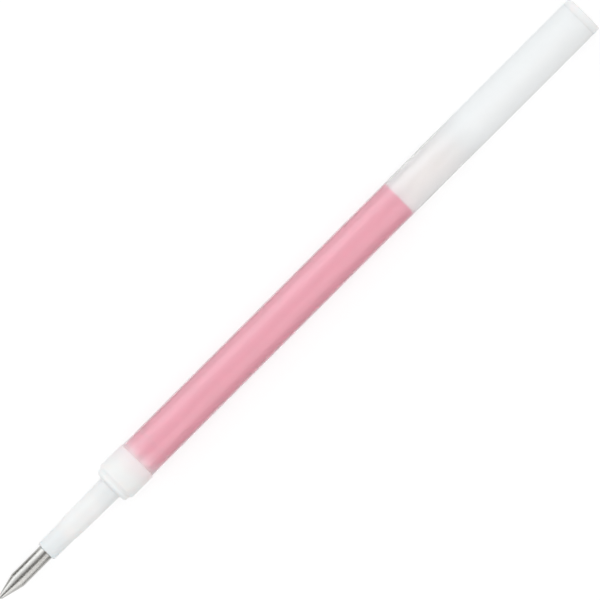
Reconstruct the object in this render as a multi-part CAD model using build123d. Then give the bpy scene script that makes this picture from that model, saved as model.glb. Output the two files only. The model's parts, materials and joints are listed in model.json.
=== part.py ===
from build123d import *
import math
import os

# Gel-ink pen refill, 111 mm long and 6 mm across, for a retractable pen.
#
# All lengths are in millimetres. Every turned piece is drawn as a half section:
# x is the station, counted backwards from the foremost point of the writing
# ball, and y is the radius. The finished refill lies along X with its tip at
# -X, resting on its collar, with the origin under the middle of its length.

# Overall sizes
LENGTH = 111.0
COLLAR_R = 3.03
TUBE_R = 2.87
TUBE_BORE_R = 2.3
SHANK_R = 1.15
BALL_R = 0.25
EDGE_BREAK = 0.1
LEAD_IN = 0.2

# Stations of the joints that show from outside
NOZZLE_X = 8.8
COLLAR_X = 21.1
TUBE_X = 26.2
INK_END_X = 75.9
FLANGE_X = LENGTH - 1.2

# Writing point: a ball held in a rolled lip at the end of a 29 degree cone
SOCKET_GAP = 0.012
BALL_PLAY = 0.03
LIP_X = 0.14
LIP_R = 0.28
LIP_END_X = 0.34
LIP_END_R = 0.345
CONE_HALF_ANGLE = 14.5
SHOULDER_ROUND = 0.4
SEAT_R = 0.2
INK_HOLE_R = 0.12
INK_HOLE_END_X = 0.95
GROOVES = 5
GROOVE_WIDTH = 0.08
GROOVE_R = 0.225
DRILL_HALF_ANGLE = 59.0
FRONT_BORE_R = 0.36
FRONT_BORE_END_X = 3.3
SPRING_BORE_R = 0.62
CRIMP_X = 11.95
CRIMP_R = 0.36
SPIGOT_R = 0.95
SPIGOT_END_X = 12.4

# Tip spring: a straight push rod in front, a bend, then tight, open and tight turns
WIRE_R = 0.065
WIRE_SIDES = 5
COIL_R = 0.45
COIL_X = 6.2
BEND_LENGTH = 0.75
TIGHT_TURNS = 1
OPEN_TURNS = 4
TIGHT_PITCH = 2.2 * WIRE_R
POINTS_PER_TURN = 8

# Tip holder: nozzle, collar and the short stem that plugs the tube
NOZZLE_FRONT_R = 1.5
NOZZLE_STEP_X = 12.3
NOZZLE_STEP_R = 1.545
NOZZLE_STEP_END_X = 13.9
NOZZLE_STEP_END_R = 1.66
NOZZLE_END_R = 1.75
SEAT_DISC_R = 2.7
SEAT_DISC_LENGTH = 0.75
COLLAR_RAMP_LENGTH = 0.35
STEM_END_X = 29.4
STEM_BORE_R = 1.85
STEM_GROOVE_DEPTH = 0.12
STEM_GROOVE_LENGTH = 1.0
CHANNEL_R = 0.6

# Check valve inside the collar
VALVE_BALL_R = 1.0
VALVE_TRAVEL = 0.7
CHAMBER_X = 18.9
CHAMBER_R = 1.25
FINS = 4
FIN_WIDTH = 0.4
FIN_END_X = 19.7
SEAT_BUSH_R = 1.5
SEAT_BUSH_END_X = 24.4
SEAT_MOUTH_R = 0.95
SEAT_HOLE_R = 0.5
SEAT_HALF_ANGLE = 45.0

# Grease follower, its float, and the plug at the tail
WALL_FILM = 0.05
FOLLOWER_LENGTH = 11.0
MENISCUS_DEPTH = 1.9
FLOAT_R = 0.9
FLOAT_X = INK_END_X + 1.6
FLOAT_LENGTH = 6.0
PLUG_STEM_LENGTH = 4.0
PLUG_CUP_R = 1.6
PLUG_WALL = 0.8
VENT_R = 0.5
VENT_SLOT_WIDTH = 0.6
VENT_SLOT_DEPTH = 0.35

# Worked-out stations
BALL_X = BALL_R
CONE_END_X = LIP_END_X + (SHANK_R - LIP_END_R) / math.tan(math.radians(CONE_HALF_ANGLE))
VALVE_FRONT_X = FIN_END_X + math.sqrt(VALVE_BALL_R**2 - CHANNEL_R**2)
VALVE_X = VALVE_FRONT_X + VALVE_TRAVEL
SEAT_TOUCH_X = VALVE_X + VALVE_BALL_R * math.sin(math.radians(SEAT_HALF_ANGLE))
SEAT_TOUCH_R = VALVE_BALL_R * math.cos(math.radians(SEAT_HALF_ANGLE))
SEAT_SLOPE = math.tan(math.radians(SEAT_HALF_ANGLE))
SEAT_X = SEAT_TOUCH_X - (SEAT_MOUTH_R - SEAT_TOUCH_R) / SEAT_SLOPE
SEAT_CONE_LENGTH = (SEAT_MOUTH_R - SEAT_HOLE_R) / SEAT_SLOPE


def section(*corners):
    """Face of a closed half section with straight sides."""
    return make_face(Polyline(*corners, close=True))


def vertices_at(face, corners):
    return [face.vertices().sort_by_distance(Vector(*corner))[0] for corner in corners]


def rounded(face, radius, *corners):
    """The section with the named corners rounded to one radius."""
    return fillet(vertices_at(face, corners), radius)


def bevelled(face, length, *corners):
    """The section with the named corners cut back by an even chamfer."""
    return chamfer(vertices_at(face, corners), length)


def turned(face):
    """Solid of revolution of a half section about the refill's axis."""
    return revolve(face, Axis.X)


def drill_depth(r0, r1):
    """Length of the conical step that a drill leaves between two radii."""
    return (r1 - r0) / math.tan(math.radians(DRILL_HALF_ANGLE))


def writing_ball():
    return Pos(BALL_X, 0, 0) * Sphere(BALL_R)


def tip_body():
    """Turned steel point: rolled lip, coined ball seat, grooves, stepped bores and a rear crimp."""
    socket_r = BALL_R + SOCKET_GAP
    seat_centre_x = BALL_X + BALL_PLAY
    lip_angle = math.degrees(math.acos((LIP_X - BALL_X) / socket_r))
    seat_angle = math.degrees(math.asin(SEAT_R / BALL_R))
    hole_angle = math.degrees(math.asin(INK_HOLE_R / BALL_R))
    lip = CenterArc((BALL_X, 0), socket_r, 90, lip_angle - 90)
    seat = CenterArc((seat_centre_x, 0), BALL_R, hole_angle, seat_angle - hole_angle)
    seat_rim_x = (seat @ 1).X - drill_depth(SEAT_R, socket_r)
    drill_end_x = INK_HOLE_END_X + drill_depth(INK_HOLE_R, FRONT_BORE_R)
    step_end_x = FRONT_BORE_END_X + drill_depth(FRONT_BORE_R, SPRING_BORE_R)
    socket_wall = Polyline(lip @ 0, (seat_rim_x, socket_r), seat @ 1)
    rest = Polyline(
        seat @ 0,
        (INK_HOLE_END_X, INK_HOLE_R),
        (drill_end_x, FRONT_BORE_R),
        (FRONT_BORE_END_X, FRONT_BORE_R),
        (step_end_x, SPRING_BORE_R),
        (CRIMP_X, SPRING_BORE_R),
        (CRIMP_X, CRIMP_R),
        (SPIGOT_END_X, CRIMP_R),
        (SPIGOT_END_X, SPIGOT_R),
        (NOZZLE_X, SPIGOT_R),
        (NOZZLE_X, SHANK_R),
        (CONE_END_X, SHANK_R),
        (LIP_END_X, LIP_END_R),
        (LIP_X, LIP_R),
        lip @ 1,
    )
    outline = make_face([*lip.edges(), *socket_wall.edges(), *seat.edges(), *rest.edges()])
    outline = bevelled(outline, LEAD_IN, (SPIGOT_END_X, SPIGOT_R))
    outline = rounded(outline, SHOULDER_ROUND, (CONE_END_X, SHANK_R))
    body = turned(outline)
    groove_length = INK_HOLE_END_X - seat_rim_x
    groove_x = seat_rim_x + groove_length / 2
    groove = Pos(groove_x, GROOVE_R / 2, 0) * Box(groove_length, GROOVE_R, GROOVE_WIDTH)
    for turn in range(GROOVES):
        body -= Rot(360 * turn / GROOVES, 0, 0) * groove
    return body


def coil_points():
    """Points on the centreline of the coil, whose end turns lie almost wire on wire."""
    turns = 2 * TIGHT_TURNS + OPEN_TURNS
    length = CRIMP_X - WIRE_R - COIL_X
    open_pitch = (length - (2 * TIGHT_TURNS + 1) * TIGHT_PITCH) / (OPEN_TURNS - 1)
    points = []
    x = COIL_X
    for step in range(turns * POINTS_PER_TURN + 1):
        turn = step / POINTS_PER_TURN
        angle = 2 * math.pi * turn
        points.append((x, COIL_R * math.cos(angle), COIL_R * math.sin(angle)))
        opened = min(max(min(turn, turns - turn) - TIGHT_TURNS, 0), 1)
        x += (TIGHT_PITCH + (open_pitch - TIGHT_PITCH) * opened) / POINTS_PER_TURN
    return points


def swept_wire(path, frenet):
    """Spring wire along a path, with a many-sided section in place of the round one."""
    start = Plane(path @ 0, z_dir=path % 0)
    return sweep(start * RegularPolygon(WIRE_R, WIRE_SIDES), path=path, is_frenet=frenet)


def tip_spring():
    """Fine wire spring whose straight front end reaches through the ink hole to the ball."""
    coil = Spline(*coil_points())
    rod_end = (COIL_X - BEND_LENGTH, 0, 0)
    bend = Spline(rod_end, coil @ 0, tangents=[(1, 0, 0), coil % 0])
    rod = Line((2 * BALL_R, 0, 0), rod_end)
    return swept_wire(rod, False) + swept_wire(bend, False) + swept_wire(coil, True)


def tip_holder():
    """White moulding: tapered nozzle, collar with a spring seat, valve chamber and tube stem."""
    disc_end_x = COLLAR_X + SEAT_DISC_LENGTH
    groove_x = TUBE_X + (STEM_END_X - TUBE_X) / 2
    outline = section(
        (NOZZLE_X, SPIGOT_R),
        (NOZZLE_X, NOZZLE_FRONT_R),
        (NOZZLE_STEP_X, NOZZLE_STEP_R),
        (NOZZLE_STEP_END_X, NOZZLE_STEP_END_R),
        (COLLAR_X, NOZZLE_END_R),
        (COLLAR_X, SEAT_DISC_R),
        (disc_end_x, SEAT_DISC_R),
        (disc_end_x + COLLAR_RAMP_LENGTH, COLLAR_R),
        (TUBE_X, COLLAR_R),
        (TUBE_X, TUBE_BORE_R),
        (STEM_END_X, TUBE_BORE_R),
        (STEM_END_X, STEM_BORE_R),
        (SEAT_BUSH_END_X, STEM_BORE_R),
        (SEAT_BUSH_END_X, SEAT_BUSH_R),
        (SEAT_X, SEAT_BUSH_R),
        (SEAT_X, CHAMBER_R),
        (CHAMBER_X, CHAMBER_R),
        (CHAMBER_X - CHAMBER_R + CHANNEL_R, CHANNEL_R),
        (SPIGOT_END_X, CHANNEL_R),
        (SPIGOT_END_X, SPIGOT_R),
    )
    broken = (NOZZLE_X, NOZZLE_FRONT_R), (COLLAR_X, NOZZLE_END_R), (TUBE_X, COLLAR_R)
    outline = bevelled(outline, EDGE_BREAK, *broken)
    outline = bevelled(outline, LEAD_IN, (COLLAR_X, SEAT_DISC_R), (STEM_END_X, TUBE_BORE_R))
    groove = section(
        (groove_x - STEM_GROOVE_LENGTH / 2, TUBE_BORE_R),
        (groove_x - STEM_GROOVE_LENGTH / 4, TUBE_BORE_R - STEM_GROOVE_DEPTH),
        (groove_x + STEM_GROOVE_LENGTH / 4, TUBE_BORE_R - STEM_GROOVE_DEPTH),
        (groove_x + STEM_GROOVE_LENGTH / 2, TUBE_BORE_R),
    )
    holder = turned(outline) - turned(groove)
    fin_height = CHAMBER_R - CHANNEL_R
    fin_x = CHAMBER_X - fin_height
    fin = Pos((fin_x + FIN_END_X) / 2, CHANNEL_R + fin_height / 2, 0) * Box(
        FIN_END_X - fin_x, fin_height, FIN_WIDTH
    )
    for turn in range(FINS):
        holder += Rot(360 * turn / FINS, 0, 0) * fin
    return holder


def valve_ball():
    """Loose ball that lets ink run forward and falls back on its seat when the pen points up."""
    return Pos(VALVE_X, 0, 0) * Sphere(VALVE_BALL_R)


def valve_seat():
    """Bush pressed in behind the valve ball, with a conical seat at each end so it fits either way."""
    outline = section(
        (SEAT_X, SEAT_MOUTH_R),
        (SEAT_X, SEAT_BUSH_R),
        (SEAT_BUSH_END_X, SEAT_BUSH_R),
        (SEAT_BUSH_END_X, SEAT_MOUTH_R),
        (SEAT_BUSH_END_X - SEAT_CONE_LENGTH, SEAT_HOLE_R),
        (SEAT_X + SEAT_CONE_LENGTH, SEAT_HOLE_R),
    )
    return turned(bevelled(outline, LEAD_IN, (SEAT_BUSH_END_X, SEAT_BUSH_R)))


def ink_tube():
    """Extruded translucent tube, cut square at both ends."""
    return turned(
        section(
            (TUBE_X, TUBE_BORE_R),
            (TUBE_X, TUBE_R),
            (FLANGE_X, TUBE_R),
            (FLANGE_X, TUBE_BORE_R),
        )
    )


def ink():
    """Column of ink that fills the stem's bore and the tube as far back as the follower."""
    return turned(
        section(
            (SEAT_BUSH_END_X, 0),
            (SEAT_BUSH_END_X, STEM_BORE_R),
            (STEM_END_X, STEM_BORE_R),
            (STEM_END_X, TUBE_BORE_R),
            (INK_END_X, TUBE_BORE_R),
            (INK_END_X, 0),
        )
    )


def follower_float():
    """Light resin rod that keeps the grease from slumping when the pen is knocked."""
    end_x = FLOAT_X + FLOAT_LENGTH
    outline = section((FLOAT_X, 0), (FLOAT_X, FLOAT_R), (end_x, FLOAT_R), (end_x, 0))
    return turned(bevelled(outline, FLOAT_R / 2, (FLOAT_X, FLOAT_R), (end_x, FLOAT_R)))


def follower():
    """Clear grease plug that follows the ink; its back is dished where it wets the wall."""
    radius = TUBE_BORE_R - WALL_FILM
    wall_x = INK_END_X + FOLLOWER_LENGTH
    dish_x = wall_x - MENISCUS_DEPTH
    grease = section(
        (INK_END_X, 0),
        (INK_END_X, radius),
        (wall_x, radius),
        (dish_x + MENISCUS_DEPTH / 4, radius / 2),
        (dish_x, 0),
    )
    return turned(grease) - follower_float()


def tail_plug():
    """Cup-shaped end plug: flange flush with the tube, vent hole, and a slot that keeps it open."""
    stem_x = FLANGE_X - PLUG_STEM_LENGTH
    outline = section(
        (stem_x, PLUG_CUP_R),
        (stem_x, TUBE_BORE_R),
        (FLANGE_X, TUBE_BORE_R),
        (FLANGE_X, TUBE_R),
        (LENGTH, TUBE_R),
        (LENGTH, VENT_R),
        (LENGTH - PLUG_WALL, VENT_R),
        (LENGTH - PLUG_WALL, PLUG_CUP_R),
    )
    outline = bevelled(outline, LEAD_IN, (stem_x, TUBE_BORE_R))
    outline = bevelled(outline, EDGE_BREAK, (LENGTH, TUBE_R))
    slot = Pos(LENGTH - VENT_SLOT_DEPTH / 2, 0, 0) * Box(VENT_SLOT_DEPTH, 2 * TUBE_R, VENT_SLOT_WIDTH)
    return turned(outline) - slot


PIECES = {
    "writing_ball": writing_ball,
    "tip_body": tip_body,
    "tip_spring": tip_spring,
    "tip_holder": tip_holder,
    "valve_ball": valve_ball,
    "valve_seat": valve_seat,
    "ink_tube": ink_tube,
    "ink": ink,
    "follower": follower,
    "follower_float": follower_float,
    "tail_plug": tail_plug,
}

if __name__ == "__main__":
    os.makedirs("parts", exist_ok=True)
    place = Location((-LENGTH / 2, 0, COLLAR_R))
    for name, make in PIECES.items():
        export_step(place * make(), f"parts/{name}.step")
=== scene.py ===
import json
import math

import bmesh
import bpy
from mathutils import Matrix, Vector


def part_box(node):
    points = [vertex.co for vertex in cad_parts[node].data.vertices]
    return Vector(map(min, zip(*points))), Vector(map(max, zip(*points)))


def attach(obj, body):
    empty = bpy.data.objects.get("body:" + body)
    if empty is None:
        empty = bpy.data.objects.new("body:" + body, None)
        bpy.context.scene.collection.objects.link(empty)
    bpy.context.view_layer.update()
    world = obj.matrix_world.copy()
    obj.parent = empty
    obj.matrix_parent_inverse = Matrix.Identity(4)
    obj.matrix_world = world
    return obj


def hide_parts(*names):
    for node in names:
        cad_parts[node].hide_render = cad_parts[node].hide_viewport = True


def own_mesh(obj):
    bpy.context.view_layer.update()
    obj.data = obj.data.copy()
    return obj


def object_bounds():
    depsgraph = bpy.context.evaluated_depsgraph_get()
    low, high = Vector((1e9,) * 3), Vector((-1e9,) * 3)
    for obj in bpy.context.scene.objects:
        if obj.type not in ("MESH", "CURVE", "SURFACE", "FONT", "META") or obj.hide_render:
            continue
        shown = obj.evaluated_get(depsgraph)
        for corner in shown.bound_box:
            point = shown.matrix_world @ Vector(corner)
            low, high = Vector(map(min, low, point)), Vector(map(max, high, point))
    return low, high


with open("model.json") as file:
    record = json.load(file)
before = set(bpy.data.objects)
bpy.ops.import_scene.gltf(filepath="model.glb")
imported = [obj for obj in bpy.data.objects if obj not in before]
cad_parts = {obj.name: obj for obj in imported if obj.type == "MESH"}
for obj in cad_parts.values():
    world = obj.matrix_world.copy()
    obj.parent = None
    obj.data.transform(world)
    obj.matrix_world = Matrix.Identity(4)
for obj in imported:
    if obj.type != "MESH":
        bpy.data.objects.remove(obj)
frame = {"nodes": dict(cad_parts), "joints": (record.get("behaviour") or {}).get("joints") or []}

cad_lo, cad_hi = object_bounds()

# A gel-ink pen refill lying on a pale floor, seen from straight above.
#
# Sizes are in millimetres unless a comment says otherwise. A station is a distance
# behind the foremost point of the writing ball, and names that end in _X hold one,
# apart from TIP_X. place() turns stations and radii into points of the packed
# model's frame, in metres.

MM = 0.001

# ---------------------------------------------------------------- the frame

# Where the tip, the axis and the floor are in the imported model's frame, in metres
TIP_X = cad_lo.x
AXIS_Z = (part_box("ink_tube")[0].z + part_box("ink_tube")[1].z) / 2
FLOOR_Z = cad_lo.z


def stations(node):
    """First and last station of a CAD node, in millimetres."""
    lo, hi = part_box(node)
    return (lo.x - TIP_X) / MM, (hi.x - TIP_X) / MM


def radius_of(node):
    """Largest radius of a CAD node, in millimetres."""
    lo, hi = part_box(node)
    return (hi.y - lo.y) / 2 / MM


LENGTH = (cad_hi.x - cad_lo.x) / MM
BALL_R = radius_of("writing_ball")
SHANK_R = radius_of("tip_body")
LIP_X, POINT_END_X = stations("tip_body")
ROD_X, COIL_END_X = stations("tip_spring")
NOZZLE_X, STEM_END_X = stations("tip_holder")
COLLAR_R = radius_of("tip_holder")
TUBE_X, FLANGE_X = stations("ink_tube")
TUBE_R = radius_of("ink_tube")
BUSH_END_X, INK_END_X = stations("ink")
BORE_R = radius_of("ink")
GREASE_END_X = stations("follower")[1]
GREASE_R = radius_of("follower")
FLOAT_X, FLOAT_END_X = stations("follower_float")
FLOAT_R = radius_of("follower_float")
SEAT_X = stations("valve_seat")[0]
BUSH_R = radius_of("valve_seat")
PLUG_X = stations("tail_plug")[0]

# What no box gives. First the steel point, from its lip to its spigot
LIP_R = 0.28
LIP_END_X = 0.34
LIP_END_R = 0.345
CONE_HALF_ANGLE = 14.5
SPIGOT_R = 0.95

# Its bores, from the ball's socket to the crimp
SOCKET_GAP = 0.012
SEAT_R = 0.2
SEAT_GAP = 0.002
DRILL_SLOPE = math.tan(math.radians(59))
INK_GROOVES = 5
INK_GROOVE_WIDTH = 0.08
INK_GROOVE_R = 0.225
INK_HOLE_R = 0.12
INK_HOLE_END_X = 0.95
INK_HOLE_CONE = 0.14
FRONT_BORE_R = 0.36
FRONT_BORE_END_X = 3.3
FRONT_BORE_CONE = 0.15
SPRING_BORE_R = 0.62
CRIMP_X = 11.95
CRIMP_R = 0.36

# The spring inside it
WIRE_R = 0.065
ROD_STATIONS = (1.5, 3.0, 4.5)
BEND_LENGTH = 0.8
BEND_MIDDLE = 0.35
BEND_MIDDLE_R = 0.2
COIL_R = 0.45
COIL_X = 6.2
COIL_TURNS = 12
CLOSED_TURNS = 2
CLOSED_PITCH = 2.3 * WIRE_R

# The holder: nozzle, collar, valve chamber and stem
NOZZLE_FRONT_R = 1.5
NOZZLE_STEP_X = 12.3
NOZZLE_STEP_R = 1.545
NOZZLE_STEP_END_X = 13.9
NOZZLE_STEP_END_R = 1.66
NOZZLE_END_R = 1.75
COLLAR_X = 21.1
SEAT_DISC_R = 2.7
SEAT_DISC_LENGTH = 0.75
COLLAR_RAMP_LENGTH = 0.35
CHANNEL_R = 0.6
CHAMBER_X = 18.9
CHAMBER_R = 1.25
FINS = 4
FIN_WIDTH = 0.4
FIN_END_X = 19.7
FIN_ROOT = 0.1
STEM_BORE_R = 1.85

# The grease's dished back and the plug
MENISCUS_DEPTH = 1.9
PLUG_CUP_R = 1.6
PLUG_WALL = 0.8
VENT_R = 0.5
VENT_SLOT_WIDTH = 0.6
VENT_SLOT_DEPTH = 0.35
# How far the slot's cutter reaches past the plug
CUTTER_OVER = 0.2

# Roundings of edges and inner corners, and the steps that each is drawn in
ROUNDING_STEPS = 6
LIP_ROUND = 0.02
LIP_END_ROUND = 0.05
GENTLE_BEND = 0.6
SHANK_END_ROUND = 0.04
MOULDED_EDGE = 0.12
NOZZLE_ROOT = 0.35
DISC_EDGE = 0.4
DISC_ROOT = 0.45
COLLAR_EDGE = 0.55
COLLAR_REAR_EDGE = 0.06
INK_EDGE = 0.05
FLOAT_EDGE = 0.15
CUP_MOUTH_EDGE = 0.08
CUP_ROUND = 0.2
FLANGE_EDGE = 0.02
VENT_EDGE = 0.06

# What wets the bore reaches this far into the wall, so that no film of air shows between
CONTACT = 0.015
# Two faces that only meet are drawn this far apart
SEAM = 0.02
# Ends pressed against their neighbour are drawn this far into it
PRESSED = 0.03
# A radius below this is a point on the axis
POLE_R = 1e-6
SECTORS = 128
CREASE = math.radians(32)
# Edges shorter than this, in metres, are what a boolean leaves over
SLIVER = 1e-7


def joint_travel(name):
    """How far a slide moves from rest, in metres."""
    return next(joint for joint in frame["joints"] if joint["name"] == name)["range_m"][1]


# ---------------------------------------------------------------- mesh tools


def arc(centre_x, radius, start, end, steps):
    """Points of a circle about a point on the axis, between two angles in degrees."""
    angles = [math.radians(start + (end - start) * i / steps) for i in range(steps + 1)]
    return [(centre_x + radius * math.cos(a), radius * math.sin(a)) for a in angles]


def softened(corners):
    """Closed outline whose corners (station, radius, rounding) are rounded by arcs."""
    outline = []
    for i, corner in enumerate(corners):
        here = Vector(corner[:2])
        rounding = corner[2] if len(corner) > 2 else 0
        if not rounding:
            outline.append(tuple(here))
            continue
        back = (Vector(corners[i - 1][:2]) - here).normalized()
        ahead = (Vector(corners[(i + 1) % len(corners)][:2]) - here).normalized()
        half = back.angle(ahead) / 2
        centre = here + (back + ahead).normalized() * rounding / math.sin(half)
        start = here + back * rounding / math.tan(half) - centre
        end = here + ahead * rounding / math.tan(half) - centre
        turn = start.angle_signed(end)
        for step in range(ROUNDING_STEPS + 1):
            a = -turn * step / ROUNDING_STEPS
            spoke = Vector((start.x * math.cos(a) - start.y * math.sin(a),
                            start.x * math.sin(a) + start.y * math.cos(a)))
            outline.append(tuple(centre + spoke))
    return outline


def place(station, radius=0.0, angle=0.0):
    """Point at a station, a radius and an angle about the axis, measured from +Y; in metres."""
    return Vector((
        TIP_X + station * MM,
        radius * MM * math.cos(angle),
        AXIS_Z + radius * MM * math.sin(angle),
    ))


def turned(name, outline, sectors=SECTORS):
    """Mesh of a closed outline turned about the refill's axis; points at radius 0 are poles."""
    mesh = bmesh.new()
    rings = []
    for station, radius in outline:
        if radius <= POLE_R:
            rings.append([mesh.verts.new(place(station))])
        else:
            angles = [2 * math.pi * k / sectors for k in range(sectors)]
            rings.append([mesh.verts.new(place(station, radius, a)) for a in angles])
    for ring, after in zip(rings, rings[1:] + rings[:1]):
        if len(ring) == 1 and len(after) == 1:
            continue
        for k in range(sectors):
            corners = []
            for vertex in (
                ring[k % len(ring)],
                ring[(k + 1) % len(ring)],
                after[(k + 1) % len(after)],
                after[k % len(after)],
            ):
                if vertex not in corners:
                    corners.append(vertex)
            mesh.faces.new(corners)
    return finished(name, mesh)


def finished(name, mesh):
    """Object with outward faces, smooth but for its sharp edges."""
    bmesh.ops.recalc_face_normals(mesh, faces=mesh.faces)
    data = bpy.data.meshes.new(name)
    mesh.to_mesh(data)
    mesh.free()
    data.shade_smooth()
    data.set_sharp_from_angle(angle=CREASE)
    piece = bpy.data.objects.new(name, data)
    bpy.context.scene.collection.objects.link(piece)
    return piece


def block(name, centre, size):
    """Box used only as a cutter."""
    mesh = bmesh.new()
    bmesh.ops.create_cube(mesh, size=1)
    bmesh.ops.scale(mesh, vec=size, verts=mesh.verts)
    bmesh.ops.translate(mesh, vec=centre, verts=mesh.verts)
    return finished(name, mesh)


def turn_about_axis(piece, angle):
    """Turns a cutter's mesh about the refill's axis."""
    for vertex in piece.data.vertices:
        y, z = vertex.co.y, vertex.co.z - AXIS_Z
        vertex.co.y = y * math.cos(angle) - z * math.sin(angle)
        vertex.co.z = AXIS_Z + y * math.sin(angle) + z * math.cos(angle)


def combined(piece, other, operation):
    """Applies a boolean with another object, which is then removed."""
    modifier = piece.modifiers.new("combine", "BOOLEAN")
    modifier.operation = operation
    modifier.solver = "EXACT"
    modifier.object = other
    depsgraph = bpy.context.evaluated_depsgraph_get()
    made = bpy.data.meshes.new_from_object(piece.evaluated_get(depsgraph), depsgraph=depsgraph)
    piece.modifiers.clear()
    piece.data = made
    bpy.data.objects.remove(other)
    mesh = bmesh.new()
    mesh.from_mesh(made)
    bmesh.ops.dissolve_degenerate(mesh, dist=SLIVER, edges=mesh.edges)
    mesh.to_mesh(made)
    mesh.free()
    made.shade_smooth()
    made.set_sharp_from_angle(angle=CREASE)
    return piece


# ---------------------------------------------------------------- materials


# Sockets of the Mix node when it mixes colours
MIX_A, MIX_B, MIX_RESULT = 6, 7, 2
# Range in which most of a noise texture's values lie
NOISE_LOW, NOISE_HIGH = 0.3, 0.7


def feed(links, socket, value):
    """Links another socket to this one, or gives it a constant."""
    if isinstance(value, bpy.types.NodeSocket):
        links.new(value, socket)
    else:
        socket.default_value = value


class Shader:
    """Node material around one Principled shader, with textures in the piece's own coordinates.

    Textures are scaled in features per metre, depths are in metres and colours are linear.
    """

    def __init__(self, name, **constants):
        self.material = bpy.data.materials.new(name)
        self.material.use_nodes = True
        self.nodes = self.material.node_tree.nodes
        self.links = self.material.node_tree.links
        self.principled = self.nodes["Principled BSDF"]
        self.coordinates = self.nodes.new("ShaderNodeTexCoord")
        for socket, value in constants.items():
            self.principled.inputs[socket.replace("_", " ")].default_value = value

    def stretched(self, scale):
        """Object coordinates, with their own scale along each axis."""
        mapping = self.nodes.new("ShaderNodeMapping")
        mapping.inputs["Scale"].default_value = scale
        self.links.new(self.coordinates.outputs["Object"], mapping.inputs["Vector"])
        return mapping.outputs["Vector"]

    def noise(self, scale, detail=3.0, roughness=0.5, distortion=0.0):
        """Noise texture, with its own scale along each axis."""
        node = self.nodes.new("ShaderNodeTexNoise")
        node.inputs["Scale"].default_value = 1.0
        node.inputs["Detail"].default_value = detail
        node.inputs["Roughness"].default_value = roughness
        node.inputs["Distortion"].default_value = distortion
        self.links.new(self.stretched(scale), node.inputs["Vector"])
        return node.outputs["Fac"]

    def along(self):
        """Station along the refill, in metres, as a socket."""
        split = self.nodes.new("ShaderNodeSeparateXYZ")
        self.links.new(self.coordinates.outputs["Object"], split.inputs["Vector"])
        return split.outputs["X"]

    def remap(self, value, low, high, to_low, to_high):
        """A value moved from one range to another and kept within it."""
        node = self.nodes.new("ShaderNodeMapRange")
        self.links.new(value, node.inputs["Value"])
        node.inputs["From Min"].default_value = low
        node.inputs["From Max"].default_value = high
        feed(self.links, node.inputs["To Min"], to_low)
        feed(self.links, node.inputs["To Max"], to_high)
        return node.outputs["Result"]

    def ramp(self, value, stops):
        """Colour ramp through (position, colour) stops."""
        node = self.nodes.new("ShaderNodeValToRGB")
        elements = node.color_ramp.elements
        while len(elements) < len(stops):
            elements.new(0.5)
        for element, (position, colour) in zip(elements, stops):
            element.position = position
            element.color = (*colour, 1)
        self.links.new(value, node.inputs["Fac"])
        return node.outputs["Color"]

    def mix(self, factor, first, second):
        """Mix of two colours; each is a socket or an RGB value."""
        node = self.nodes.new("ShaderNodeMix")
        node.data_type = "RGBA"
        self.links.new(factor, node.inputs["Factor"])
        for index, colour in ((MIX_A, first), (MIX_B, second)):
            value = (*colour, 1) if isinstance(colour, tuple) else colour
            feed(self.links, node.inputs[index], value)
        return node.outputs[MIX_RESULT]

    def bump(self, height, distance, strength):
        """Fine relief; distance is its full height."""
        node = self.nodes.new("ShaderNodeBump")
        node.inputs["Strength"].default_value = strength
        node.inputs["Distance"].default_value = distance
        self.links.new(height, node.inputs["Height"])
        self.links.new(node.outputs["Normal"], self.principled.inputs["Normal"])

    def drive(self, socket, value):
        """Links a value to a socket of the Principled shader."""
        self.links.new(value, self.principled.inputs[socket])

    def blend(self, factor, first, second):
        """Makes the surface a mix of two shaders."""
        node = self.nodes.new("ShaderNodeMixShader")
        feed(self.links, node.inputs["Fac"], factor)
        self.links.new(first.outputs["BSDF"], node.inputs[1])
        self.links.new(second.outputs["BSDF"], node.inputs[2])
        surface = self.nodes["Material Output"].inputs["Surface"]
        self.links.new(node.outputs["Shader"], surface)


def machined_metal(name, dark, bright, roughness, ring_scale, ring_depth):
    """Turned metal: fine rings round the axis, with faint stains and a varying polish."""
    shader = Shader(name, Metallic=1.0)
    stains = shader.noise((900, 900, 900), detail=5)
    shader.drive("Base Color", shader.mix(stains, dark, bright))
    polish = shader.noise((2500, 1200, 1200), detail=4)
    smoothest, roughest = roughness * 0.8, roughness * 1.3
    shader.drive("Roughness", shader.remap(polish, NOISE_LOW, NOISE_HIGH, smoothest, roughest))
    rings = shader.noise((ring_scale, 60, 60), detail=4, roughness=0.6)
    shader.bump(rings, distance=ring_depth, strength=0.6)
    return shader.material


SCATTER_DEPTH = 0.0009
SCATTER_RADIUS = (1.0, 0.85, 0.8)
CLOUD_GREY = (0.78, 0.79, 0.80)
CLOUD_SHARE = 0.06


def moulded_white(name, tint_stops, low_x, high_x, roughness):
    """White polypropylene: a tint along its length, faint clouding and mould texture."""
    shader = Shader(name, Subsurface_Weight=0.8, Subsurface_Scale=SCATTER_DEPTH, IOR=1.49)
    shader.principled.inputs["Subsurface Radius"].default_value = SCATTER_RADIUS
    share = shader.remap(shader.along(), low_x, high_x, 0.0, 1.0)
    tint = shader.ramp(share, tint_stops)
    clouds = shader.remap(shader.noise((350, 350, 350), detail=4), 0.35, 0.65, 0.0, CLOUD_SHARE)
    shader.drive("Base Color", shader.mix(clouds, tint, CLOUD_GREY))
    grain = shader.noise((9000, 9000, 9000), detail=3)
    smoothest, roughest = roughness - 0.05, roughness + 0.08
    shader.drive("Roughness", shader.remap(grain, NOISE_LOW, NOISE_HIGH, smoothest, roughest))
    shader.bump(grain, distance=0.000004, strength=0.35)
    return shader.material


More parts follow.
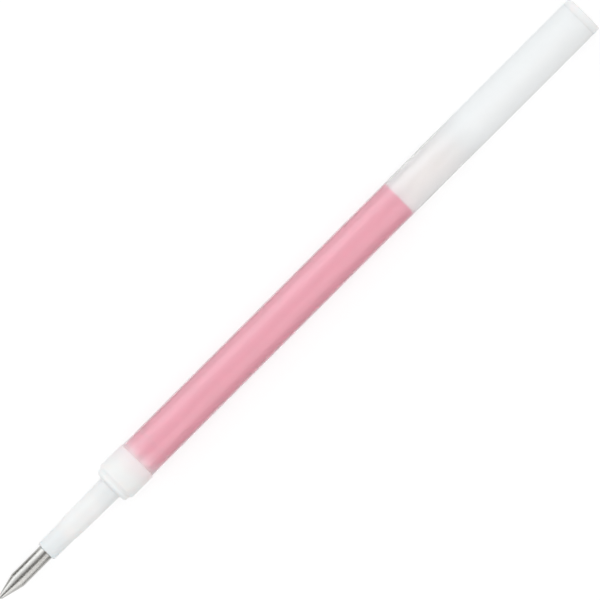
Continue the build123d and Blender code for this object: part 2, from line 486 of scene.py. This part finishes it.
WHITE = (0.905, 0.905, 0.90)
FRONT_WHITE = (0.86, 0.90, 0.915)
# Painted light: a paler white at the corner between the nozzle and the collar's front face, which
# lifts the shade there
PAINTED_CORNER_LIGHT = (0.99, 0.99, 0.985)
# Painted light: a paler white on the collar's forward-facing ramp, which lifts its shade
PAINTED_RAMP_LIGHT = (0.925, 0.925, 0.92)
INK_PINK = (0.745, 0.148, 0.264)
INK_TINT = (0.90, 0.80, 0.815)
# Tints by distance behind the collar's front face; the paler tints at the corner and the ramp are
# painted light over their shade
COLLAR_TINTS = (
    (-NOZZLE_ROOT, WHITE),
    (0.0, PAINTED_CORNER_LIGHT),
    (0.15, WHITE),
    (0.5, WHITE),
    (0.95, PAINTED_RAMP_LIGHT),
    (1.3, WHITE),
)
# Tints by distance behind its rear face, where the ink starts to show
STEM_TINTS = (
    (-0.05, INK_TINT),
    (0.05, (0.97, 0.78, 0.81)),
    (0.5, (0.87, 0.46, 0.54)),
    (1.1, (0.81, 0.285, 0.385)),
)
# How far in front of the ink the collar starts to take its tint
TINT_LEAD = 0.6


def holder_material():
    """The ink inside tints the collar's back a little and shows through the stem's thin wall; paler
    tints at the collar's front corner and its forward ramp are painted light that lifts their
    shade.
    """
    low, high = NOZZLE_X, STEM_END_X

    def share(station):
        return (station - low) / (high - low)

    stops = [
        (0.0, FRONT_WHITE),
        (share(NOZZLE_STEP_X), WHITE),
        *((share(COLLAR_X + distance), tint) for distance, tint in COLLAR_TINTS),
        (share(BUSH_END_X - TINT_LEAD), WHITE),
        *((share(TUBE_X + distance), tint) for distance, tint in STEM_TINTS),
        (1.0, INK_PINK),
    ]
    low_x, high_x = TIP_X + low * MM, TIP_X + high * MM
    return moulded_white("white_moulding", stops, low_x, high_x, roughness=0.42)


# The bore changes from wet to dry over this length either side of the grease's back
DRYING_LENGTH = 3.0
WET_TINTS = ((0.98, 0.99, 0.995), (0.985, 0.985, 0.985))
DRY_TINTS = ((0.95, 0.975, 0.985), (0.97, 0.978, 0.978))
# What each face of the tube lets through of the light on its way to a shadow
SHADOW_PASS = (0.45, 0.45, 0.45, 1)


def tube_material():
    """Extruded translucent tube with faint draw lines, and a frosted look where it is dry."""
    shader = Shader("translucent_tube", IOR=1.40, Coat_Roughness=0.15)
    dry, fade = TIP_X + GREASE_END_X * MM, DRYING_LENGTH * MM
    dryness = shader.remap(shader.along(), dry - fade, dry + fade, 0.0, 1.0)

    def by_dryness(when_wet, when_dry):
        return shader.remap(dryness, 0.0, 1.0, when_wet, when_dry)

    shader.drive("Transmission Weight", by_dryness(0.80, 0.15))
    shader.drive("Coat Weight", by_dryness(1.0, 0.0))
    clouds = shader.noise((60, 500, 500), detail=3)
    wet, frosted = shader.mix(clouds, *WET_TINTS), shader.mix(clouds, *DRY_TINTS)
    shader.drive("Base Color", shader.mix(dryness, wet, frosted))
    lines = shader.noise((12, 2600, 2600), detail=3, roughness=0.6)
    smoothest, roughest = by_dryness(0.34, 0.62), by_dryness(0.46, 0.74)
    shader.drive("Roughness", shader.remap(lines, NOISE_LOW, NOISE_HIGH, smoothest, roughest))
    shader.bump(lines, distance=0.000005, strength=0.4)
    passing = shader.nodes.new("ShaderNodeBsdfTransparent")
    passing.inputs["Color"].default_value = SHADOW_PASS
    is_shadow = shader.nodes.new("ShaderNodeLightPath").outputs["Is Shadow Ray"]
    shader.blend(is_shadow, shader.principled, passing)
    return shader.material


# What the ink's colour is multiplied by where its swirls are deepest
INK_DEPTH = (0.97, 0.9, 0.92)


def ink_material():
    """Opaque pink gel, a little deeper in colour along its swirls."""
    shader = Shader("pink_gel_ink", Roughness=0.38, IOR=1.5)
    shader.principled.inputs["Specular IOR Level"].default_value = 1.0
    swirl = shader.noise((120, 500, 500), detail=4, distortion=0.6)
    deeper = tuple(c * f for c, f in zip(INK_PINK, INK_DEPTH))
    depth = shader.remap(swirl, NOISE_LOW, NOISE_HIGH, 0.0, 1.0)
    shader.drive("Base Color", shader.mix(depth, INK_PINK, deeper))
    return shader.material


GREASE_DARK = (0.92, 0.80, 0.77)
GREASE_LIGHT = (0.94, 0.85, 0.83)
GREASE_STAIN = (0.90, 0.62, 0.67)
STAIN_LENGTH = 1.2
# How much of the grease is its own colour and not what lies behind it
GREASE_BODY = 0.4


def grease_material():
    """Clear, faintly warm grease, pink where it last touched the ink."""
    shader = Shader("clear_grease", Roughness=0.35, IOR=1.1)
    front = TIP_X + INK_END_X * MM
    near_ink = shader.remap(shader.along(), front, front + STAIN_LENGTH * MM, 1.0, 0.0)
    warm = shader.mix(shader.noise((250, 500, 500), detail=3), GREASE_DARK, GREASE_LIGHT)
    shader.drive("Base Color", shader.mix(near_ink, warm, GREASE_STAIN))
    clear = shader.nodes.new("ShaderNodeBsdfTransparent")
    shader.blend(GREASE_BODY, clear, shader.principled)
    return shader.material


def plain_white(name, colour, roughness):
    """Small white moulding of one tint."""
    stops = [(0.0, colour), (1.0, colour)]
    return moulded_white(name, stops, low_x=-1.0, high_x=1.0, roughness=roughness)


# ---------------------------------------------------------------- the pieces


def show(piece, body, slot, material, *nodes):
    """Gives a finished piece its material and body, and hides the CAD nodes it stands for. The slot
    is not used.
    """
    piece.data.materials.clear()
    piece.data.materials.append(material)
    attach(piece, body)
    if nodes:
        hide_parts(*nodes)
    return piece


def steel_point():
    """Turned point: rolled lip, cone, shank, spigot, stepped bore, ball seat and ink grooves."""
    socket_r = BALL_R + SOCKET_GAP
    cone_end_x = LIP_END_X + (SHANK_R - LIP_END_R) / math.tan(math.radians(CONE_HALF_ANGLE))
    lip_angle = math.degrees(math.acos((LIP_X - BALL_R) / socket_r))
    seat_r = BALL_R + SEAT_GAP
    hole_angle, rim_angle = (math.degrees(math.asin(r / seat_r)) for r in (INK_HOLE_R, SEAT_R))
    seat_x = BALL_R + joint_travel("ball_press") / MM
    seat = arc(seat_x, seat_r, hole_angle, rim_angle, steps=6)
    rim_x = seat[-1][0] - (socket_r - SEAT_R) / DRILL_SLOPE
    outline = softened([
        (LIP_X, LIP_R, LIP_ROUND),
        (LIP_END_X, LIP_END_R, LIP_END_ROUND),
        (cone_end_x, SHANK_R, GENTLE_BEND),
        (NOZZLE_X, SHANK_R, SHANK_END_ROUND),
        (NOZZLE_X, SPIGOT_R),
        (POINT_END_X, SPIGOT_R, MOULDED_EDGE),
        (POINT_END_X, CRIMP_R),
        (CRIMP_X, CRIMP_R),
        (CRIMP_X, SPRING_BORE_R),
        (FRONT_BORE_END_X + FRONT_BORE_CONE, SPRING_BORE_R),
        (FRONT_BORE_END_X, FRONT_BORE_R),
        (INK_HOLE_END_X + INK_HOLE_CONE, FRONT_BORE_R),
        (INK_HOLE_END_X, INK_HOLE_R),
        *seat,
        (rim_x, socket_r),
        *arc(BALL_R, socket_r, 90, lip_angle, steps=8),
    ])
    piece = turned("steel_point", outline)
    groove_length = INK_HOLE_END_X - rim_x
    for groove in range(INK_GROOVES):
        cutter = block(
            "groove_cutter",
            place(rim_x + groove_length / 2, INK_GROOVE_R / 2),
            Vector((groove_length, INK_GROOVE_R, INK_GROOVE_WIDTH)) * MM,
        )
        turn_about_axis(cutter, 2 * math.pi * groove / INK_GROOVES)
        combined(piece, cutter, "DIFFERENCE")
    return piece


def point_spring():
    """Round wire spring: a push rod on the axis, a bend, then the coil with closed end turns."""
    curve = bpy.data.curves.new("point_spring", "CURVE")
    curve.dimensions = "3D"
    curve.bevel_depth = WIRE_R * MM
    curve.bevel_resolution = 3
    curve.resolution_u = 3
    curve.use_fill_caps = True
    points = [place(station) for station in (ROD_X, *ROD_STATIONS, COIL_X - BEND_LENGTH)]
    points.append(place(COIL_X - BEND_MIDDLE, BEND_MIDDLE_R))
    steps_per_turn = 16
    open_length = COIL_END_X - WIRE_R - COIL_X - 2 * CLOSED_TURNS * CLOSED_PITCH
    open_pitch = open_length / (COIL_TURNS - 2 * CLOSED_TURNS)
    station = COIL_X
    for step in range(COIL_TURNS * steps_per_turn + 1):
        turn = step / steps_per_turn
        points.append(place(station, COIL_R, 2 * math.pi * turn))
        closed = turn < CLOSED_TURNS or turn >= COIL_TURNS - CLOSED_TURNS
        station += (CLOSED_PITCH if closed else open_pitch) / steps_per_turn
    spline = curve.splines.new("NURBS")
    spline.points.add(len(points) - 1)
    for control, point in zip(spline.points, points):
        control.co = (*point, 1)
    spline.order_u = 3
    spline.use_endpoint_u = True
    swept = bpy.data.objects.new("wire", curve)
    data = bpy.data.meshes.new_from_object(swept)
    bpy.data.objects.remove(swept)
    data.shade_smooth()
    data.set_sharp_from_angle(angle=CREASE)
    piece = bpy.data.objects.new("point_spring", data)
    bpy.context.scene.collection.objects.link(piece)
    return piece


def nozzle_and_collar():
    """White moulding: nozzle, collar, valve chamber with its fins, and the stem in the tube."""
    disc_end_x = COLLAR_X + SEAT_DISC_LENGTH
    stem_r = BORE_R + CONTACT
    outline = softened([
        (NOZZLE_X + SEAM, SPIGOT_R),
        (NOZZLE_X + SEAM, NOZZLE_FRONT_R, MOULDED_EDGE),
        (NOZZLE_STEP_X, NOZZLE_STEP_R, GENTLE_BEND),
        (NOZZLE_STEP_END_X, NOZZLE_STEP_END_R, GENTLE_BEND),
        (COLLAR_X, NOZZLE_END_R, NOZZLE_ROOT),
        (COLLAR_X, SEAT_DISC_R, DISC_EDGE),
        (disc_end_x, SEAT_DISC_R, DISC_ROOT),
        (disc_end_x + COLLAR_RAMP_LENGTH, COLLAR_R, COLLAR_EDGE),
        (TUBE_X, COLLAR_R, COLLAR_REAR_EDGE),
        (TUBE_X, stem_r),
        (STEM_END_X, stem_r, MOULDED_EDGE),
        (STEM_END_X, STEM_BORE_R),
        (BUSH_END_X, STEM_BORE_R),
        (BUSH_END_X, BUSH_R),
        (SEAT_X, BUSH_R),
        (SEAT_X, CHAMBER_R),
        (CHAMBER_X, CHAMBER_R),
        (CHAMBER_X - CHAMBER_R + CHANNEL_R, CHANNEL_R),
        (POINT_END_X, CHANNEL_R),
        (POINT_END_X, SPIGOT_R),
    ])
    piece = turned("nozzle_and_collar", outline)
    fin_height = CHAMBER_R - CHANNEL_R
    fin_x = CHAMBER_X - fin_height
    for fin in range(FINS):
        rib = block(
            "rib",
            place((fin_x + FIN_END_X) / 2, CHANNEL_R + fin_height / 2 + FIN_ROOT / 2),
            Vector((FIN_END_X - fin_x, fin_height + FIN_ROOT, FIN_WIDTH)) * MM,
        )
        turn_about_axis(rib, 2 * math.pi * fin / FINS)
        combined(piece, rib, "UNION")
    return piece


def ink_tube():
    """Tube pressed between the collar and the plug's flange."""
    return turned("clear_tube", [
        (TUBE_X - PRESSED, BORE_R),
        (TUBE_X - PRESSED, TUBE_R),
        (FLANGE_X, TUBE_R),
        (FLANGE_X + PRESSED, TUBE_R - PRESSED),
        (FLANGE_X + PRESSED, BORE_R),
    ])


def ink_in_stem():
    """Ink between the valve's bush and the tube, which stays when the column shortens."""
    return turned("ink_in_stem", [
        (BUSH_END_X + SEAM, 0),
        (BUSH_END_X + SEAM, STEM_BORE_R - SEAM),
        (STEM_END_X, STEM_BORE_R - SEAM),
        (STEM_END_X, 0),
    ])


def ink_column():
    """Ink in the tube, as far back as the grease."""
    return turned("ink_column", softened([
        (STEM_END_X + SEAM, 0),
        (STEM_END_X + SEAM, BORE_R + CONTACT, INK_EDGE),
        (INK_END_X - SEAM, BORE_R + CONTACT, INK_EDGE),
        (INK_END_X - SEAM, 0),
    ]))


def grease_plug():
    """Grease plug with a dished back; the float is drawn inside it, without a hollow."""
    steps = 12
    shares = [1 - i / steps for i in range(steps + 1)]
    dish = [(GREASE_END_X - MENISCUS_DEPTH * (1 - s * s), GREASE_R * s) for s in shares]
    return turned("grease_plug", [(INK_END_X, 0), (INK_END_X, GREASE_R), *dish])


def float_rod():
    """Resin rod with bevelled ends, drawn a little within the CAD model's rod."""
    bevel = FLOAT_R / 2
    return turned("float_rod", softened([
        (FLOAT_X + SEAM, 0),
        (FLOAT_X + SEAM, FLOAT_R - bevel, FLOAT_EDGE),
        (FLOAT_X + bevel, FLOAT_R - SEAM, FLOAT_EDGE),
        (FLOAT_END_X - bevel, FLOAT_R - SEAM, FLOAT_EDGE),
        (FLOAT_END_X - SEAM, FLOAT_R - bevel, FLOAT_EDGE),
        (FLOAT_END_X - SEAM, 0),
    ]))


def vented_plug():
    """Cup-shaped end plug: a flange flush with the tube, a vent hole and a slot across the tail."""
    piece = turned("vented_plug", softened([
        (PLUG_X, PLUG_CUP_R, CUP_MOUTH_EDGE),
        (PLUG_X, BORE_R + CONTACT, CUP_ROUND),
        (FLANGE_X, BORE_R + CONTACT),
        (FLANGE_X, TUBE_R, FLANGE_EDGE),
        (LENGTH, TUBE_R, MOULDED_EDGE),
        (LENGTH, VENT_R, VENT_EDGE),
        (LENGTH - PLUG_WALL, VENT_R),
        (LENGTH - PLUG_WALL, PLUG_CUP_R, CUP_ROUND),
    ]))
    slot = (VENT_SLOT_DEPTH + CUTTER_OVER, 2 * TUBE_R + CUTTER_OVER, VENT_SLOT_WIDTH)
    slot_centre = place(LENGTH + (CUTTER_OVER - VENT_SLOT_DEPTH) / 2)
    cutter = block("slot_cutter", slot_centre, Vector(slot) * MM)
    return combined(piece, cutter, "DIFFERENCE")


def carbide_ball():
    """Writing ball: half a circle turned about the axis."""
    return turned("carbide_ball", arc(BALL_R, BALL_R, 180, 0, steps=48), sectors=96)


steel = machined_metal(
    "turned_steel",
    dark=(0.47, 0.465, 0.45),
    bright=(0.53, 0.525, 0.51),
    roughness=0.26,
    ring_scale=26000,
    ring_depth=0.0000012,
)
carbide = machined_metal(
    "sintered_carbide",
    dark=(0.30, 0.30, 0.31),
    bright=(0.40, 0.40, 0.41),
    roughness=0.10,
    ring_scale=9000,
    ring_depth=0.0000004,
)
wire = machined_metal(
    "drawn_wire",
    dark=(0.42, 0.41, 0.39),
    bright=(0.55, 0.54, 0.52),
    roughness=0.28,
    ring_scale=9000,
    ring_depth=0.0000005,
)

show(steel_point(), "refill", "stainless", steel, "tip_body")
show(carbide_ball(), "point_ball", "carbide", carbide, "writing_ball")
spring = show(point_spring(), "point_spring", "spring_wire", wire, "tip_spring")
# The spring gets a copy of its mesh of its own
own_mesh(spring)
show(nozzle_and_collar(), "refill", "white_plastic", holder_material(), "tip_holder")
show(ink_tube(), "refill", "clear_tube", tube_material(), "ink_tube")
plug_white = plain_white("plug_white", (0.88, 0.885, 0.885), 0.45)
show(vented_plug(), "refill", "plug_plastic", plug_white, "tail_plug")
show(grease_plug(), "ink_follower", "grease", grease_material(), "follower")
float_resin = plain_white("float_resin", (0.88, 0.83, 0.81), 0.4)
show(float_rod(), "ink_follower", "float_resin", float_resin, "follower_float")

pink = ink_material()
show(ink_in_stem(), "refill", "pink_ink", pink)
column = show(ink_column(), "refill", "pink_ink", pink, "ink")
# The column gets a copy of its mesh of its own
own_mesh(column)

# The valve's ball and bush keep their CAD meshes
valve_steel = machined_metal(
    "valve_ball_steel",
    dark=(0.60, 0.60, 0.61),
    bright=(0.68, 0.68, 0.69),
    roughness=0.12,
    ring_scale=5000,
    ring_depth=0.0000005,
)
seat_resin = plain_white("seat_resin", (0.84, 0.85, 0.85), 0.4)
for node, material in (("valve_ball", valve_steel), ("valve_seat", seat_resin)):
    data = frame["nodes"][node].data
    data.shade_smooth()
    data.materials.clear()
    data.materials.append(material)


# ---------------------------------------------------------------- floor, light and camera


def larger(nodes, links, first, second):
    """The larger of two values."""
    node = nodes.new("ShaderNodeMath")
    node.operation = "MAXIMUM"
    links.new(first, node.inputs[0])
    links.new(second, node.inputs[1])
    return node.outputs[0]


def seen_directly(nodes, links):
    """1 for camera, glossy and transmission rays, 0 for the rays that light the object."""
    path = nodes.new("ShaderNodeLightPath").outputs
    seen = larger(nodes, links, path["Is Camera Ray"], path["Is Glossy Ray"])
    return larger(nodes, links, seen, path["Is Transmission Ray"])


def switched(nodes, links, factor, off, on):
    """One value where the factor is 0 and another where it is 1."""
    node = nodes.new("ShaderNodeMapRange")
    links.new(factor, node.inputs["Value"])
    node.inputs["To Min"].default_value = off
    node.inputs["To Max"].default_value = on
    return node.outputs["Result"]


# Side in metres, and cells along it
FLOOR_SIZE = 8.0
FLOOR_CELLS = 8
# What the floor returns of the light that falls on it: to the object, then to the camera
FLOOR_ALBEDO = 0.8
FLOOR_SHADE = 0.36
# What it adds for the camera, and the world's own light on the object
FLOOR_GLOW = 0.70
WORLD_LIGHT = 0.40


def white_floor():
    """Pale floor that reads as white paper, and darkens only in the object's own shadow."""
    mesh = bmesh.new()
    bmesh.ops.create_grid(
        mesh, x_segments=FLOOR_CELLS, y_segments=FLOOR_CELLS, size=FLOOR_SIZE / 2
    )
    bmesh.ops.translate(mesh, vec=(0, 0, FLOOR_Z), verts=mesh.verts)
    floor = finished("floor", mesh)
    material = bpy.data.materials.new("white_paper")
    material.use_nodes = True
    nodes, links = material.node_tree.nodes, material.node_tree.links
    nodes.clear()
    direct = seen_directly(nodes, links)
    diffuse = nodes.new("ShaderNodeBsdfDiffuse")
    links.new(switched(nodes, links, direct, FLOOR_ALBEDO, FLOOR_SHADE), diffuse.inputs["Color"])
    glow = nodes.new("ShaderNodeEmission")
    links.new(switched(nodes, links, direct, 0.0, FLOOR_GLOW), glow.inputs["Strength"])
    both = nodes.new("ShaderNodeAddShader")
    links.new(diffuse.outputs["BSDF"], both.inputs[0])
    links.new(glow.outputs["Emission"], both.inputs[1])
    output = nodes.new("ShaderNodeOutputMaterial")
    links.new(both.outputs["Shader"], output.inputs["Surface"])
    floor.data.materials.append(material)


def white_world():
    """World that reads as white, and lights the object at a lower level."""
    world = bpy.data.worlds.new("studio")
    bpy.context.scene.world = world
    world.use_nodes = True
    nodes, links = world.node_tree.nodes, world.node_tree.links
    background = nodes["Background"]
    background.inputs["Color"].default_value = (1, 1, 1, 1)
    direct = seen_directly(nodes, links)
    links.new(switched(nodes, links, direct, WORLD_LIGHT, 1.0), background.inputs["Strength"])


# In metres
SOFTBOX_DISTANCE = 0.45
SOFTBOX_LENGTH = 0.8
CARD_HEIGHT = 0.40


def softbox(name, radiance, colour, near_angle, far_angle):
    """Long soft box facing the refill, between two angles from straight up, positive to +Y."""
    middle = math.radians((near_angle + far_angle) / 2)
    half = math.radians((far_angle - near_angle) / 2)
    width = 2 * SOFTBOX_DISTANCE * math.tan(abs(half))
    data = bpy.data.lights.new(name, "AREA")
    data.shape = "RECTANGLE"
    data.size = SOFTBOX_LENGTH
    data.size_y = width
    data.energy = radiance * math.pi * SOFTBOX_LENGTH * width
    data.color = colour
    lamp = bpy.data.objects.new(name, data)
    bpy.context.scene.collection.objects.link(lamp)
    across, up = SOFTBOX_DISTANCE * math.sin(middle), SOFTBOX_DISTANCE * math.cos(middle)
    lamp.location = (0, across, AXIS_Z + up)
    lamp.rotation_euler = (-middle, 0, 0)
    lamp.visible_camera = False
    return lamp


def dark_card(name, colour, corners):
    """Grey card that only reflections see."""
    mesh = bmesh.new()
    mesh.faces.new([mesh.verts.new(corner) for corner in corners])
    card = finished(name, mesh)
    material = bpy.data.materials.new(name)
    material.use_nodes = True
    principled = material.node_tree.nodes["Principled BSDF"]
    principled.inputs["Base Color"].default_value = (*colour, 1)
    principled.inputs["Roughness"].default_value = 1.0
    principled.inputs["Specular IOR Level"].default_value = 0.0
    card.data.materials.append(material)
    card.visible_camera = False
    card.visible_diffuse = False
    card.visible_transmission = False
    card.visible_shadow = False
    card.visible_volume_scatter = False


CARD_CLEARANCE = 0.1
# High cards start well ahead of the tip, because the cone's reflections lean forward
CARD_START_X, CARD_END_X = -400.0, 120.0
POINT_CARD_START_X = -2
# Sides of the refill: +Y and -Y
LEFT, RIGHT = 1, -1
LOW_GREY = (0.27, 0.265, 0.25)
HIGH_GREY = (0.34, 0.335, 0.32)
STREAK_GREY = (0.46, 0.455, 0.44)


def high_card(name, colour, near_angle, far_angle, start_x, end_x):
    """Grey strip above the refill, between two angles from straight up, which dims a reflection."""
    near, far = (CARD_HEIGHT * math.tan(math.radians(a)) for a in (near_angle, far_angle))
    z = AXIS_Z + CARD_HEIGHT
    x0, x1 = TIP_X + start_x * MM, TIP_X + end_x * MM
    dark_card(name, colour, [(x0, near, z), (x0, far, z), (x1, far, z), (x1, near, z)])


def low_card(name, side, near, far, rise, start_x, end_x):
    """Dark strip beside the refill, rising away from it, which darkens the line along its edge."""
    x0, x1 = TIP_X + start_x * MM, TIP_X + end_x * MM
    near, far = side * near * MM, side * far * MM
    z0 = FLOOR_Z + CARD_CLEARANCE * MM
    z1 = z0 + rise * MM
    dark_card(name, LOW_GREY, [(x0, near, z0), (x1, near, z0), (x1, far, z1), (x0, far, z1)])


# A lens so long that the view is nearly parallel, and the width that it takes in
LENS = 1000.0
PICTURE_WIDTH = 80.52
# What lies in the middle of the picture: a station, and a distance beside the axis
VIEW_STATION = 56.81
VIEW_OFFSET = -0.215
VIEW_TURN = -45


def camera():
    """Long lens straight above, turned so that the refill runs from lower left to upper right."""
    data = bpy.data.cameras.new("camera")
    data.lens = LENS
    view = bpy.data.objects.new("camera", data)
    bpy.context.scene.collection.objects.link(view)
    distance = PICTURE_WIDTH * MM * data.lens / data.sensor_width
    centre = place(VIEW_STATION) + Vector((0, VIEW_OFFSET * MM, 0))
    view.location = centre + Vector((0, 0, distance))
    view.rotation_euler = (0, 0, math.radians(VIEW_TURN))
    data.clip_start = 0.01
    data.clip_end = 50.0
    bpy.context.scene.camera = view


white_floor()
white_world()

# Radiance, colour and the two angles
softbox("left_light", 1.08, (0.96, 0.985, 1.0), 36.0, 80.0)
top = softbox("top_light", 0.88, (1.0, 1.0, 1.0), -26.0, 26.0)
# Reflections show the white world in its place
top.visible_glossy = False
softbox("right_light", 0.67, (1.0, 0.985, 0.97), -26.0, -74.0)

# Colour, the two angles and the two stations
high_card("overhead_card", HIGH_GREY, -24.0, 15.0, CARD_START_X, CARD_END_X)
high_card("left_streak_card", STREAK_GREY, 40.0, 52.0, CARD_START_X, COLLAR_X)
high_card("right_streak_card", HIGH_GREY, -60.0, -32.0, COLLAR_X, CARD_END_X)

# Side, near and far edge from the axis, rise of the far edge and the two stations
low_card("left_point_card", LEFT, 7, 120, 36, POINT_CARD_START_X, NOZZLE_X)
low_card("right_point_card", RIGHT, 10, 120, 0, POINT_CARD_START_X, NOZZLE_X)
low_card("left_tube_card", LEFT, 7, 11, 0, COLLAR_X, INK_END_X)
low_card("right_tube_card", RIGHT, 7, 120, 55, NOZZLE_X, INK_END_X)

camera()

bpy.context.scene.view_settings.view_transform = "Standard"
